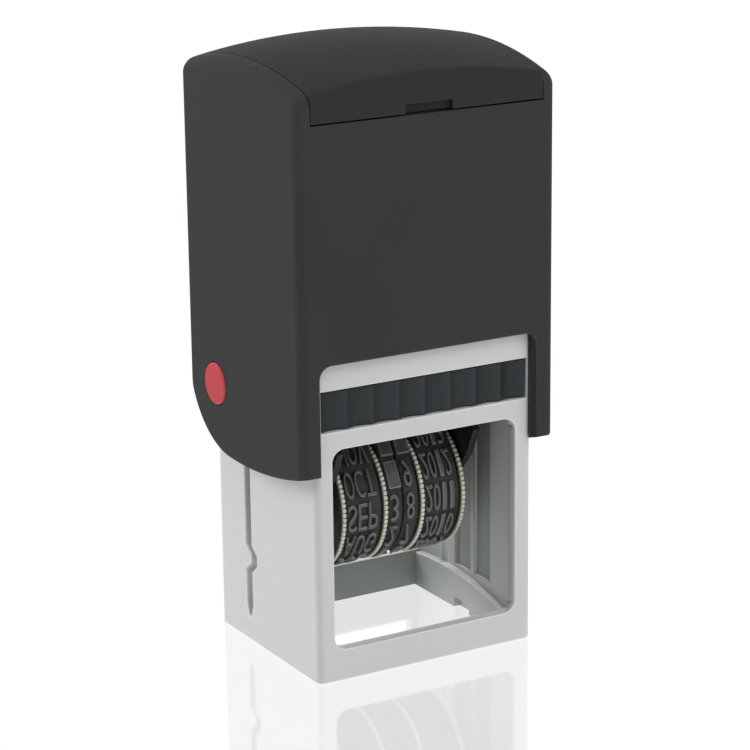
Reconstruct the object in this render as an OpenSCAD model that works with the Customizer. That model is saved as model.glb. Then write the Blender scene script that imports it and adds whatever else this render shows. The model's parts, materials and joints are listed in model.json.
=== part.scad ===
// Self-inking date stamp: a sliding cover over a hollow frame, and a date band unit that turns over
// as the cover is pressed. Millimetres, +Z up, front at -Y, origin on the table under the centre.

/* [Frame] */
// Width of the frame, side to side
frame_w = 38; // [36:0.5:44]
// Depth of the frame, front to back
frame_d = 33.6; // [33:0.2:40]
// Height of the frame walls inside the cover
frame_h = 66; // [60:0.5:68]
// Thickness of the two side walls
side_wall = 2; // [1.8:0.1:2.2]
// Thickness of the front and back walls
face_wall = 1.8; // [1.4:0.1:2]
// Radius of the upright edges at the front
front_edge_r = 1.2; // [0.5:0.1:1.6]
// Radius of the upright edges at the back
back_edge_r = 3; // [1:0.1:3.5]
// Flange left beside each window
window_margin = 2.95; // [2.5:0.05:5]
// Height of the window sill
window_sill_z = 4.95; // [3:0.05:8]
// Height of the window's upper edge
window_top_z = 36.5; // [30:0.1:38]
// Corner radius of the windows
window_r = 2; // [0.5:0.1:4]
// Thickness of the ledges that carry the pad tray
ledge_t = 1.6; // [1:0.1:1.8]
// Thickness of the deck under the spring
deck_t = 2; // [1.5:0.1:3]
// Room between the pad tray and the deck
deck_gap = 1.2; // [0.4:0.1:2]
// Height of the round boss that centres the spring on the deck
boss_h = 2.5; // [1:0.1:4]

/* [Frame inside] */
// Inward step of the arched skirts on the side walls
skirt_t = 1.1; // [0.6:0.1:1.2]
// Highest point of the skirts
skirt_top_z = 6.25; // [5.5:0.05:7]
// Place of that highest point, front to back
skirt_top_y = 5; // [2:0.1:7]
// Radius of the skirt's arched upper edge
skirt_arc_r = 64; // [55:1:90]
// Height of the sill along the inside of the back wall
sill_h = 6; // [4:0.1:8]
// Inward step of that sill
sill_t = 1.6; // [0.8:0.1:1.8]
// Depth of the shallow channels in the side walls
channel_t = 0.6; // [0.3:0.1:0.9]
// Lower end of the channels
channel_z = 6.7; // [6.5:0.1:10]
// Front channel, from its front edge to its back edge
front_channel_y = [-8, -3.2]; // [-12:0.1:0]
// Middle channel, from its front edge to its back edge
middle_channel_y = [-2.2, 2.6]; // [-3:0.1:4]
// Height of the notch at the foot of each skirt
foot_notch_h = 1.7; // [1:0.1:3]
// Width of that notch
foot_notch_w = 4.6; // [2:0.1:6]

/* [Side slots] */
// Place of the guide slots behind the middle of the side walls
slot_y = 5.6; // [4.6:0.1:7]
// Width of the guide slots
slot_w = 1.9; // [1.6:0.1:2.4]
// Lower tip of the slots
slot_foot_z = 3.95; // [3:0.05:6]
// Length of the tapered tip
slot_tip_h = 1.8; // [0.5:0.1:3]
// Middle of the kink in the slots
kink_z = 13.7; // [11:0.1:14]
// Height of the kink
kink_h = 4.4; // [3:0.1:5]
// Sideways step of the kink, towards the front
kink_step = 1.7; // [0.5:0.1:2]

/* [Cover] */
// Sliding gap between the cover and the frame
cover_gap = 0.3; // [0.2:0.05:0.5]
// Thickness of the cover's side walls
cover_side = 2.8; // [2.6:0.1:3.2]
// Thickness of the cover's front and back walls
cover_face = 1.3; // [1.2:0.1:2]
// Radius of the cover's upright edges
cover_edge_r = 1.6; // [1:0.1:1.7]
// Radius of the rounded shoulders between the sides and the roof
shoulder_r = 2.1; // [1.8:0.1:2.2]
// Height of the top of the stamp
cover_top_z = 94.8; // [93:0.1:98]
// Radius of the roof's arch, front to back
arch_r = 65; // [55:1:80]
// Place of the arch's highest line behind the middle
arch_y = 1.8; // [0:0.1:3]
// Radius of the roof's slight crown, side to side
crown_r = 105; // [90:1:200]
// Height of the flat roof under the top cap
roof_z = 85.6; // [84.5:0.1:86.5]
// Thickness of that flat roof
roof_t = 2; // [1.5:0.1:3]
// Upper edge of the cut-out in the front
notch_top_z = 50; // [46.5:0.1:56]
// Width of the cover's front left beside the cut-out
notch_margin = 3.3; // [3.15:0.05:5]
// Corner radius of the cut-out
notch_r = 2; // [0.5:0.1:4]
// Lowest point of the side skirts
leg_bottom_z = 30.6; // [29.5:0.1:31]
// Place of that lowest point, front to back
leg_bottom_y = 1.3; // [0:0.1:3]
// Radius of the side skirts' lower edge
leg_arc_r = 72; // [65:1:120]
// Radius of the rounded lower corner at the back
leg_back_r = 14; // [10:0.5:14.5]
// Radius of the guide lugs that run in the frame's slots
lug_r = 0.85; // [0.6:0.05:1.1]
// Height of the lugs above the lowest point of the side skirts
lug_rise = 3.3; // [2:0.1:5]
// Play of the lugs in the slots
lug_play = 0.1; // [0.05:0.05:0.3]

/* [Top cap] */
// Thickness of the cover's cheeks beside the cap
cheek_t = 2.3; // [2:0.1:2.6]
// Gap around the cap
cap_gap = 0.15; // [0.1:0.05:0.4]
// Gap under the cap's lips
cap_seat_gap = 0.25; // [0.1:0.05:0.4]
// Wall thickness of the cap
cap_t = 1.6; // [1.2:0.1:2]
// Width of the finger notch in the cap's front lip
finger_w = 8; // [4:0.5:14]
// Height of the finger notch
finger_h = 1.4; // [1:0.1:2.2]
// Depth of the finger notch
finger_t = 0.9; // [0.4:0.1:1.1]
// Thickness of the index card under the cap
card_t = 0.3; // [0.2:0.05:0.5]

/* [Lock buttons] */
// Radius of the lock buttons
button_r = 3.3; // [2.5:0.1:4]
// Place of the buttons behind the middle
button_y = 9; // [8.6:0.1:9.6]
// Height of the buttons
button_z = 41.6; // [41:0.1:43]
// How far the buttons stand proud of the cover
button_proud = 0.3; // [0.1:0.05:0.6]
// Travel of the buttons
button_travel = 1; // [0.6:0.1:1.1]
// Radius of the locking stems
stem_r = 1.7; // [1.2:0.1:2]
// Clearance around the buttons and stems in the cover
button_play = 0.08; // [0.05:0.01:0.1]
// Clearance around the stems in the frame's sockets
socket_play = 0.2; // [0.1:0.05:0.3]
// Distance between the two locking heights
lock_drop = 5.5; // [4.5:0.1:7]

/* [Pad tray] */
// Width of the ribbed grip on the front
grip_w = 35.6; // [30:0.1:35.8]
// Height of the pad tray and its grip
grip_h = 5.9; // [5:0.1:6.5]
// Number of flutes on the grip
flute_count = 8; // [4:1:12]
// Depth of the flutes
flute_t = 0.45; // [0.3:0.05:0.9]
// Recess of the grip behind the frame's front
grip_recess = 0.3; // [0.1:0.05:0.5]
// Gap around the grip in its slot
grip_gap = 0.2; // [0.1:0.05:0.3]
// Width of the tray where it rides on the ledges
tray_w = 25.8; // [25:0.1:26]
// Height of the pad's inked face above the table
pad_face_z = 39.6; // [39:0.1:40]
// Width of the ink pad
pad_w = 21.8; // [20:0.1:22]
// Thickness of the ink pad
pad_t = 4.2; // [3:0.1:4.4]
// Wall of the tray in front of and behind the pad
tray_end_t = 1.6; // [1:0.1:2.5]

/* [Date bands] */
// Distance from the turning axis to the face of the characters
print_reach = 12.4; // [12:0.1:12.6]
// Height of the characters on the bands
char_relief = 0.6; // [0.4:0.1:0.8]
// Thickness of the bands
band_t = 0.9; // [0.7:0.1:1]
// Half the depth of the printing nose, over the bands
nose_half = 3; // [2.6:0.1:3.4]
// Radius of the bands' bend over the edges of the nose
nose_edge_r = 1.4; // [1.2:0.1:1.8]
// Width of the month and year bands
wide_band_w = 6.2; // [5.6:0.1:6.3]
// Width of the two day bands
narrow_band_w = 2.6; // [2.2:0.1:2.65]
// Gap between a band and the rim beside it
band_gap = 0.12; // [0.1:0.01:0.2]

/* [Date wheels] */
// Outer radius of the beaded rims
rim_r = 10.5; // [10.3:0.05:10.6]
// Thickness of the rims
rim_t = 0.9; // [0.7:0.05:1]
// Number of beads on a rim
bead_count = 84; // [60:1:100]
// Depth of the gaps between the beads
bead_t = 0.3; // [0.1:0.05:0.4]
// Radius of the bands' outer face on the wheels
band_r = 10; // [9.8:0.05:10.1]
// Distance of the wheels' spindle below the turning axis
wheel_drop = 3.8; // [3.5:0.05:3.9]
// Radius of the spindle
spindle_r = 1.3; // [1.1:0.1:1.4]

/* [Turning unit] */
// Radius of the pivot pins
pivot_r = 1.6; // [1.4:0.1:1.7]
// Running clearance of pins and wheels, on the radius
running_play = 0.05; // [0.02:0.01:0.09]
// Fixed fit clearance of pins in plates, on the radius
seat_play = 0.02; // [0.01:0.01:0.05]
// Thickness of the unit's side plates
plate_t = 1.2; // [1:0.1:1.3]
// Thickness of the washers beside the wheels
washer_t = 0.3; // [0.2:0.05:0.35]
// Thickness of the clips on the spindle
clip_t = 0.35; // [0.3:0.05:0.4]
// Room between the clips and the pivot pins
clip_room = 0.15; // [0.1:0.05:0.2]
// Half width of the side plates at their foot, and its height from the turning axis
plate_foot = [4, -6.5]; // [-10:0.1:14]
// Half width and height of the plates at the hip
plate_hip = [6.5, -1.2]; // [-10:0.1:14]
// Half width and height of the plates at the waist
plate_waist = [9.9, 2.6]; // [-10:0.1:14]
// Half width and height of the plates at the ears
plate_ear = [12, 6.9]; // [-10:0.1:14]
// Half width and height of the plates at the top
plate_top = [9, 10.6]; // [-10:0.1:14]
// Width of the yoke's arms, front to back
arm_w = 7; // [5:0.1:7.4]
// Thickness of the yoke's arms
arm_t = 2; // [1.5:0.1:2.1]
// Side gap between the unit and the arms
arm_gap = 0.25; // [0.2:0.05:0.3]
// Thickness of the yoke's head
yoke_t = 2; // [1.5:0.1:3]
// Depth of the yoke's head
yoke_d = 18; // [17:0.5:24]
// Radius of the pegs that fix the yoke to the roof
peg_r = 1.5; // [1:0.1:2]

/* [Return spring] */
// Mean radius of the coils
coil_r = 8; // [7.6:0.1:8.4]
// Radius of the wire
wire_r = 0.6; // [0.4:0.05:0.7]
// Number of turns
coil_turns = 9; // [6:1:10]
// Share by which the end turns are closer than the middle ones
coil_close = 0.45; // [0:0.05:0.5]
// Room between the coils and the bosses that centre them
boss_play = 0.3; // [0.2:0.05:0.5]

/* [Press] */
// Gap between the characters and the inked pad at rest
ink_gap = 0.2; // [0.1:0.05:0.3]
// Gap between the characters and the table when pressed
print_gap = 0.1; // [0.05:0.05:0.2]

/* [Hidden] */
$fn = 64;
cut = 1;
join = 0.5;
sliver = 0.01;
coil_steps = 8;
pad_proud = 0.1;
pad_play = 0.1;
tray_lift = 0.2;
tray_play = 0.25;
tray_back_gap = 0.3;
ledge_lap = 0.95;
ledge_room = 1.1;
arm_room = 0.3;
flute_land = 0.4;
button_web = 0.4;
button_stop = 0.05;
lug_room = 0.3;
card_margin = 0.5;
peg_inset = 0.5;
peg_short = 0.1;
band_slack = 0.1;
nose_room = 0.4;
nose_bevel = 0.5;
half_w = frame_w/2;
half_d = frame_d/2;
inner_x = half_w - side_wall;
inner_y = half_d - face_wall;
tray_z = pad_face_z + pad_proud;
tray_top_z = pad_face_z + grip_h;
deck_z = tray_top_z + deck_gap;
spring_foot_z = deck_z + deck_t;
cover_x = half_w + cover_gap + cover_side;
cover_y = half_d + cover_gap + cover_face;
cavity_x = half_w + cover_gap;
cavity_y = half_d + cover_gap;
ceiling_z = roof_z - roof_t;
arch_z = cover_top_z - arch_r;
channel_x = cover_x - cheek_t;
cap_x = channel_x - cap_gap;
lug_z = leg_bottom_z + lug_rise;
slot_half = slot_w/2;
slot_top_z = lug_z + slot_half + lug_play;
pivot_z = pad_face_z - ink_gap - print_reach;
stroke = pivot_z - print_reach - print_gap;
wheel_z = pivot_z - wheel_drop;
drum_r = band_r - band_t - band_slack;
face_reach = print_reach - char_relief;
wheel_gap = 0.15;
day_x = band_gap + narrow_band_w;
day_rim_x = day_x + band_gap + rim_t;
wide_x = day_rim_x + band_gap;
date_x = wide_x + wide_band_w + band_gap;
rim_x = date_x + rim_t;
plate_x = rim_x + washer_t + 2*running_play;
plate_out_x = plate_x + plate_t;
clip_x = plate_out_x + running_play;
arm_x = clip_x + clip_t + arm_gap;
arm_out_x = arm_x + arm_t;
ledge_x = tray_w/2 - ledge_lap;
yoke_z = ceiling_z - yoke_t;
yoke_peg_x = (arm_x + coil_r)/2 - peg_inset;
spring_gap = 0.15;
boss_r = coil_r*cos(180/coil_steps) - wire_r - boss_play;
clip_r = wheel_drop - pivot_r - clip_room;
pad_half_d = inner_y - tray_end_t;
pad_top_z = pad_face_z + pad_t;
pitch_flute = grip_w/flute_count;
flute_half = (pitch_flute - flute_land)/2;
flute_r = (flute_half*flute_half + flute_t*flute_t)/(2*flute_t);

// Shapes that several pieces share

module both_sides() {
    children();
    mirror([1, 0, 0]) children();
}

module along_x(x0, x1) {
    translate([x0, 0, 0]) rotate([90, 0, 90]) linear_extrude(x1 - x0) children();
}

module along_y(y0, y1) {
    translate([0, y1, 0]) rotate([90, 0, 0]) linear_extrude(y1 - y0) children();
}

module rod(r, x0, x1, y, z) {
    translate([x0, y, z]) rotate([0, 90, 0]) cylinder(r = r, h = x1 - x0);
}

module block(x, y, z) {
    translate([x[0], y[0], z[0]]) cube([x[1] - x[0], y[1] - y[0], z[1] - z[0]]);
}

module ring_x(r_out, r_in, x0, x1, y, z) {
    difference() {
        rod(r_out, x0, x1, y, z);
        rod(r_in, x0 - cut, x1 + cut, y, z);
    }
}

module rounded_rect(w, h, r) {
    square([w - 2*r, h], center = true);
    square([w, h - 2*r], center = true);
    for (x = [-1, 1], y = [-1, 1])
        translate([x*(w/2 - r), y*(h/2 - r)]) circle(r);
}

// Frame

module frame_plan() {
    edge_r = max(front_edge_r, back_edge_r);
    translate([-half_w + edge_r, -half_d]) square([frame_w - 2*edge_r, frame_d]);
    translate([-half_w, -half_d + front_edge_r]) square([frame_w, frame_d - front_edge_r - back_edge_r]);
    translate([-half_w + front_edge_r, -half_d]) square([frame_w - 2*front_edge_r, half_d]);
    for (s = [-1, 1]) {
        translate([s*(half_w - front_edge_r), -half_d + front_edge_r]) circle(front_edge_r);
        translate([s*(half_w - back_edge_r), half_d - back_edge_r]) circle(back_edge_r);
    }
}

module frame_walls() {
    difference() {
        linear_extrude(frame_h) frame_plan();
        block([-inner_x, inner_x], [-inner_y, inner_y], [-cut, frame_h + cut]);
    }
}

module window(y0, y1) {
    window_h = window_top_z - window_sill_z;
    along_y(y0, y1)
        translate([0, window_sill_z + window_h/2])
            rounded_rect(2*(half_w - window_margin), window_h, window_r);
}

module grip_slot() {
    slot_x = grip_w/2 + grip_gap;
    block([-slot_x, slot_x], [-half_d - cut, -inner_y + sliver],
        [pad_face_z - grip_gap, tray_top_z + grip_gap]);
}

module guide_slot() {
    front = slot_y - slot_half;
    back = slot_y + slot_half;
    turn_h = kink_h/6;
    along_x(inner_x - sliver, half_w + cut)
        polygon([
            [front, slot_top_z], [front, kink_z + kink_h/2],
            [front - kink_step, kink_z + turn_h], [front - kink_step, kink_z - turn_h],
            [front, kink_z - kink_h/2], [front, slot_foot_z + slot_tip_h],
            [slot_y - slot_half/4, slot_foot_z], [slot_y + slot_half/4, slot_foot_z],
            [back, slot_foot_z + slot_tip_h], [back, kink_z - kink_h/2],
            [back - kink_step, kink_z - turn_h], [back - kink_step, kink_z + turn_h],
            [back, kink_z + kink_h/2], [back, slot_top_z]
        ]);
}

module side_skirt() {
    along_x(inner_x - skirt_t, inner_x + join)
        intersection() {
            translate([-inner_y - join, 0]) square([2*(inner_y + join), skirt_top_z + cut]);
            translate([skirt_top_y, skirt_top_z - skirt_arc_r]) circle(skirt_arc_r, $fn = 180);
        }
}

module wall_channel(y) {
    block([inner_x - cut, inner_x + channel_t], y, [channel_z, pad_face_z - ledge_t]);
}

module foot_notch() {
    block([inner_x - skirt_t - cut, inner_x], [-foot_notch_w*0.75, foot_notch_w*0.25], [-cut, foot_notch_h]);
}

module tray_ledges() {
    ledge_y = arm_w/2 + ledge_room;
    for (s = [-1, 1], t = [-1, 1])
        block(
            s > 0 ? [ledge_x, inner_x + join] : [-inner_x - join, -ledge_x],
            t > 0 ? [ledge_y, inner_y + join] : [-inner_y - join, -ledge_y],
            [pad_face_z, pad_face_z + ledge_t]
        );
}

module lock_socket(z) {
    rod(stem_r + socket_play, half_w - cover_gap - button_travel, half_w + cut, button_y, z);
}

module deck() {
    difference() {
        union() {
            block(
                [-inner_x - join, inner_x + join],
                [-inner_y - join, inner_y + join],
                [deck_z, deck_z + deck_t]
            );
            translate([0, 0, deck_z]) cylinder(r = boss_r, h = deck_t + boss_h);
        }
        translate([0, 0, deck_z - cut]) cylinder(r = coil_r/2, h = deck_t + boss_h + 2*cut);
        both_sides()
            block(
                [arm_x - arm_room, arm_out_x + arm_room],
                [-arm_w/2 - arm_room, arm_w/2 + arm_room],
                [deck_z - cut, deck_z + deck_t + cut]
            );
    }
}

module frame() {
    color("#c9cac8") difference() {
        union() {
            frame_walls();
            deck();
            tray_ledges();
            both_sides() side_skirt();
            block([-inner_x - join, inner_x + join], [inner_y - sill_t, inner_y + join], [0, sill_h]);
        }
        window(-half_d - cut, -inner_y + sliver);
        window(inner_y - sliver, half_d + cut);
        grip_slot();
        both_sides() {
            guide_slot();
            wall_channel(front_channel_y);
            wall_channel(middle_channel_y);
            foot_notch();
            lock_socket(button_z);
            lock_socket(button_z - lock_drop);
        }
    }
}

// Cover, top cap and index card

module shoulder_corner() {
    side_y = cover_x - shoulder_r;
    bend_r = crown_r - shoulder_r;
    lean = asin(side_y/bend_r);
    reach = 2*shoulder_r;
    translate([arch_r - crown_r + bend_r*cos(lean), side_y]) difference() {
        polygon([[0, 0], reach*[cos(lean), sin(lean)], [reach, reach], [0, reach]]);
        circle(shoulder_r);
    }
}

module roof_profile(inset) {
    intersection() {
        translate([arch_r - crown_r, 0]) circle(crown_r - inset, $fn = 180);
        translate([0, -cover_x - cut]) square([arch_r + cut, 2*(cover_x + cut)]);
    }
}

module barrel() {
    translate([0, arch_y, arch_z]) rotate([0, 90, 0]) rotate_extrude($fn = 180) children();
}

module cover_body() {
    intersection() {
        translate([0, 0, leg_bottom_z - cut])
            linear_extrude(cover_top_z - leg_bottom_z + 2*cut)
                rounded_rect(2*cover_x, 2*cover_y, cover_edge_r);
        barrel() difference() {
            roof_profile(0);
            shoulder_corner();
            mirror([0, 1]) shoulder_corner();
        }
    }
}

module leg_outline() {
    corner_y = cover_y - leg_back_r;
    drop_y = corner_y - leg_bottom_y;
    corner_z = leg_bottom_z + leg_arc_r - sqrt(pow(leg_arc_r - leg_back_r, 2) - drop_y*drop_y);
    difference() {
        translate([leg_bottom_y, leg_bottom_z + leg_arc_r]) circle(leg_arc_r, $fn = 180);
        difference() {
            translate([corner_y, corner_z - leg_back_r - cut])
                square([leg_back_r + cut, leg_back_r + cut]);
            translate([corner_y, corner_z]) circle(leg_back_r);
        }
    }
}

module front_cutout() {
    notch_x = cover_x - notch_margin;
    low_z = leg_bottom_z - 2*cut - notch_r;
    along_y(-cover_y - cut, -cavity_y + sliver)
        translate([0, (notch_top_z + low_z)/2]) rounded_rect(2*notch_x, notch_top_z - low_z, notch_r);
}

module button_bore() {
    bore_x = cavity_x + button_web;
    rod(button_r + button_play, bore_x, cover_x + cut, button_y, button_z);
    rod(stem_r + button_play, cavity_x - cut, cover_x, button_y, button_z);
}

module cover_shell() {
    color("#3b3c3b") {
        difference() {
            intersection() {
                cover_body();
                along_x(-cover_x - cut, cover_x + cut) leg_outline();
            }
            translate([0, 0, leg_bottom_z - 2*cut]) linear_extrude(ceiling_z - leg_bottom_z + 2*cut)
                rounded_rect(2*cavity_x, 2*cavity_y, front_edge_r);
            block([-channel_x, channel_x], [-cover_y - cut, cover_y + cut], [roof_z, cover_top_z + cut]);
            front_cutout();
            both_sides() button_bore();
            both_sides() translate([yoke_peg_x, 0, ceiling_z - cut])
                cylinder(r = peg_r + seat_play, h = roof_t + 2*cut);
        }
        both_sides() rod(lug_r, inner_x + lug_room, cavity_x + join, slot_y, lug_z);
    }
}

module top_cap() {
    hollow_x = cap_x - cap_t;
    hollow_z = roof_z + cap_seat_gap;
    color("#333433") difference() {
        intersection() {
            cover_body();
            block([-cap_x, cap_x], [-cover_y - cut, cover_y + cut], [hollow_z, cover_top_z + cut]);
        }
        intersection() {
            block([-hollow_x, hollow_x], [-cover_y + cap_t, cover_y - cap_t], [hollow_z - cut, cover_top_z]);
            barrel() roof_profile(cap_t);
        }
        block(
            [-finger_w/2, finger_w/2],
            [-cover_y - cut, -cover_y + finger_t],
            [hollow_z - cut, hollow_z + finger_h]
        );
    }
}

module index_card() {
    card_x = cap_x - cap_t - card_margin;
    card_y = cover_y - cap_t - card_margin;
    color("#f2f0e6") block([-card_x, card_x], [-card_y, card_y], [roof_z, roof_z + card_t]);
}

module lock_button(side) {
    face_x = cover_x + button_proud;
    back_x = cavity_x + button_web + button_travel + button_stop;
    color("#d9505a") mirror([side < 0 ? 1 : 0, 0, 0]) {
        rod(button_r, back_x, face_x, button_y, button_z);
        rod(stem_r, half_w + cover_gap/2, face_x - join/2, button_y, button_z);
    }
}

module lock_button_left() {
    lock_button(-1);
}

module lock_button_right() {
    lock_button(1);
}

// Yoke and return spring

module yoke() {
    color("#2b2c2c") {
        difference() {
            union() {
                block([-arm_out_x, arm_out_x], [-yoke_d/2, yoke_d/2], [yoke_z, ceiling_z]);
                both_sides() {
                    block([arm_x, arm_out_x], [-arm_w/2, arm_w/2], [pivot_z, yoke_z + join]);
                    rod(arm_w/2, arm_x, arm_out_x, 0, pivot_z);
                }
                translate([0, 0, yoke_z - boss_h]) cylinder(r = boss_r, h = boss_h + join);
            }
            both_sides() rod(pivot_r + running_play, arm_x - cut, arm_out_x + cut, 0, pivot_z);
        }
        both_sides() translate([yoke_peg_x, 0, ceiling_z - join])
            cylinder(r = peg_r, h = roof_t + join - peg_short);
    }
}

spring_z0 = spring_foot_z + spring_gap + wire_r;
spring_z1 = yoke_z - spring_gap - wire_r;
coil_rings = coil_steps*coil_turns;
function coil_t(i) = i/coil_rings;
function coil_z(t) = spring_z0 + (spring_z1 - spring_z0)*(t - coil_close*sin(360*t)/(2*PI));
function coil_point(t) = [coil_r*cos(360*coil_turns*t), coil_r*sin(360*coil_turns*t), coil_z(t)];
coil_points = [for (i = [0:coil_rings]) coil_point(coil_t(i))];
function coil_ring(i) = [
    for (a = [0:60:300]) let (turn = 360*coil_turns*coil_t(i))
        coil_points[i] + wire_r*[cos(a)*cos(turn), cos(a)*sin(turn), sin(a)]
];
coil_least_gap = min([
    for (i = [0:coil_rings], j = [0:coil_rings])
        if (j - i > coil_steps/2) norm(coil_points[i] - coil_points[j])
]) - 2*wire_r;
echo(str("Least gap of the return spring to itself: ", coil_least_gap, " mm"));

module return_spring() {
    sides = 6;
    last = sides*coil_rings;
    points = [for (i = [0:coil_rings]) each coil_ring(i)];
    walls = [
        for (i = [0:coil_rings - 1], k = [0:sides - 1])
            let (a = sides*i + k, b = sides*i + (k + 1)%sides)
                each [[a, b, b + sides], [a, b + sides, a + sides]]
    ];
    foot = [for (k = [1:sides - 2]) [0, k + 1, k]];
    head = [for (k = [1:sides - 2]) [last, last + k, last + k + 1]];
    color("#b9bcbe") polyhedron(points, concat(walls, foot, head));
}

// Pad tray and ink pad

module grip() {
    grip_y = -half_d + grip_recess;
    difference() {
        block([-grip_w/2, grip_w/2], [grip_y, -inner_y], [pad_face_z, tray_top_z]);
        for (i = [0:flute_count - 1])
            translate([(i + 0.5)*pitch_flute - grip_w/2, grip_y + flute_t - flute_r, pad_face_z - cut])
                cylinder(r = flute_r, h = grip_h + 2*cut, $fn = 120);
    }
}

module pad_tray() {
    step_z = pad_face_z + ledge_t + tray_lift;
    low_x = ledge_x - tray_play;
    front_y = -inner_y - join/5;
    back_y = inner_y - tray_back_gap;
    color("#22272a") {
        grip();
        difference() {
            union() {
                block([-tray_w/2, tray_w/2], [front_y, back_y], [step_z, tray_top_z]);
                block([-low_x, low_x], [front_y, back_y], [tray_z, step_z + join/5]);
            }
            block(
                [-pad_w/2 - pad_play, pad_w/2 + pad_play],
                [-pad_half_d, pad_half_d],
                [tray_z - cut, pad_top_z]
            );
        }
    }
}

module ink_pad() {
    pad_y = pad_half_d - pad_play;
    color("#3a2f4a") block([-pad_w/2, pad_w/2], [-pad_y, pad_y], [pad_face_z, pad_top_z]);
}

// Turning unit: side plates, nose bar, pins and spindle

module plate_outline() {
    back_edge = [plate_foot, plate_hip, plate_waist, plate_ear, plate_top];
    front_edge = [for (i = [len(back_edge) - 1:-1:0]) [-back_edge[i][0], back_edge[i][1]]];
    difference() {
        translate([0, pivot_z]) polygon(concat(back_edge, front_edge));
        translate([0, pivot_z]) circle(pivot_r + seat_play);
        translate([0, wheel_z]) circle(spindle_r + seat_play);
    }
}

module carrier_plate_left() {
    color("#232425") along_x(-plate_out_x, -plate_x) plate_outline();
}

module carrier_plate_right() {
    color("#232425") along_x(plate_x, plate_out_x) plate_outline();
}

module nose_bar() {
    bar_y = nose_half - band_t - band_slack;
    top_z = pivot_z + face_reach - band_t - band_slack;
    low_z = wheel_z + rim_r + nose_room;
    color("#232425") along_x(-plate_x, plate_x)
        polygon([
            [-bar_y, low_z], [bar_y, low_z], [bar_y, top_z - nose_bevel], [bar_y - nose_bevel, top_z],
            [nose_bevel - bar_y, top_z], [-bar_y, top_z - nose_bevel]
        ]);
}

module pivot_pin_left() {
    color("#b9bcbe") rod(pivot_r, -arm_out_x, -plate_x, 0, pivot_z);
}

module pivot_pin_right() {
    color("#b9bcbe") rod(pivot_r, plate_x, arm_out_x, 0, pivot_z);
}

module wheel_spindle() {
    end_x = clip_x + clip_t;
    color("#b9bcbe") rod(spindle_r, -end_x, end_x, 0, wheel_z);
}

module spindle_clips() {
    color("#8f9294") both_sides()
        ring_x(clip_r, spindle_r + seat_play, clip_x, clip_x + clip_t, 0, wheel_z);
}

module spindle_washers() {
    washer_x = rim_x + running_play;
    color("#d8d8d2") both_sides()
        ring_x(2*spindle_r, spindle_r + seat_play, washer_x, washer_x + washer_t, 0, wheel_z);
}

// Date bands: loops over a wheel and the nose

module band_outline(inset) {
    corner_y = nose_half - nose_edge_r;
    corner_z = pivot_z + face_reach - nose_edge_r;
    hull() {
        translate([0, wheel_z]) circle(band_r - inset);
        for (s = [-1, 1])
            translate([s*corner_y, corner_z]) circle(nose_edge_r - inset, $fn = 24);
    }
}

module date_band(x0, x1) {
    color("#3d3b40") difference() {
        along_x(x0, x1) band_outline(0);
        along_x(x0 - cut, x1 + cut) band_outline(band_t);
    }
}

module month_band() {
    date_band(-wide_x - wide_band_w, -wide_x);
}

module day_tens_band() {
    date_band(-day_x, -band_gap);
}

module day_units_band() {
    date_band(band_gap, day_x);
}

module year_band() {
    date_band(wide_x, wide_x + wide_band_w);
}

// Date wheels: a drum under the band and a beaded rim beside it

module bead_outline() {
    polygon([
        for (i = [0:2*bead_count - 1])
            let (a = 180*i/bead_count, r = rim_r - (i%2)*bead_t)
                [r*cos(a), r*sin(a)]
    ]);
}

// The rim lies from rim_in to rim_in + rim_t, and the drum reaches back to drum_in
module date_wheel(side, drum_in, rim_in) {
    color("#ddd8c8") mirror([side < 0 ? 1 : 0, 0, 0]) difference() {
        union() {
            rod(drum_r, drum_in, rim_in + rim_t/2, 0, wheel_z);
            translate([0, 0, wheel_z]) along_x(rim_in, rim_in + rim_t) bead_outline();
        }
        rod(spindle_r + running_play, drum_in - cut, rim_in + rim_t + cut, 0, wheel_z);
    }
}

module month_wheel() {
    date_wheel(-1, day_rim_x + wheel_gap, date_x);
}

module day_tens_wheel() {
    date_wheel(-1, wheel_gap/2, day_rim_x - rim_t);
}

module day_units_wheel() {
    date_wheel(1, wheel_gap/2, day_rim_x - rim_t);
}

module year_wheel() {
    date_wheel(1, day_rim_x + wheel_gap, date_x);
}

echo(str("Stroke ", stroke, " mm, turning axis at ", pivot_z, " mm, spindle at ", wheel_z, " mm"));

frame();
cover_shell();
top_cap();
index_card();
lock_button_left();
lock_button_right();
yoke();
return_spring();
pad_tray();
ink_pad();
carrier_plate_left();
carrier_plate_right();
nose_bar();
pivot_pin_left();
pivot_pin_right();
wheel_spindle();
spindle_clips();
spindle_washers();
month_band();
day_tens_band();
day_units_band();
year_band();
month_wheel();
day_tens_wheel();
day_units_wheel();
year_wheel();
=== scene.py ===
import json
import math

import bmesh
import bpy
from mathutils import Matrix, Vector

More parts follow.
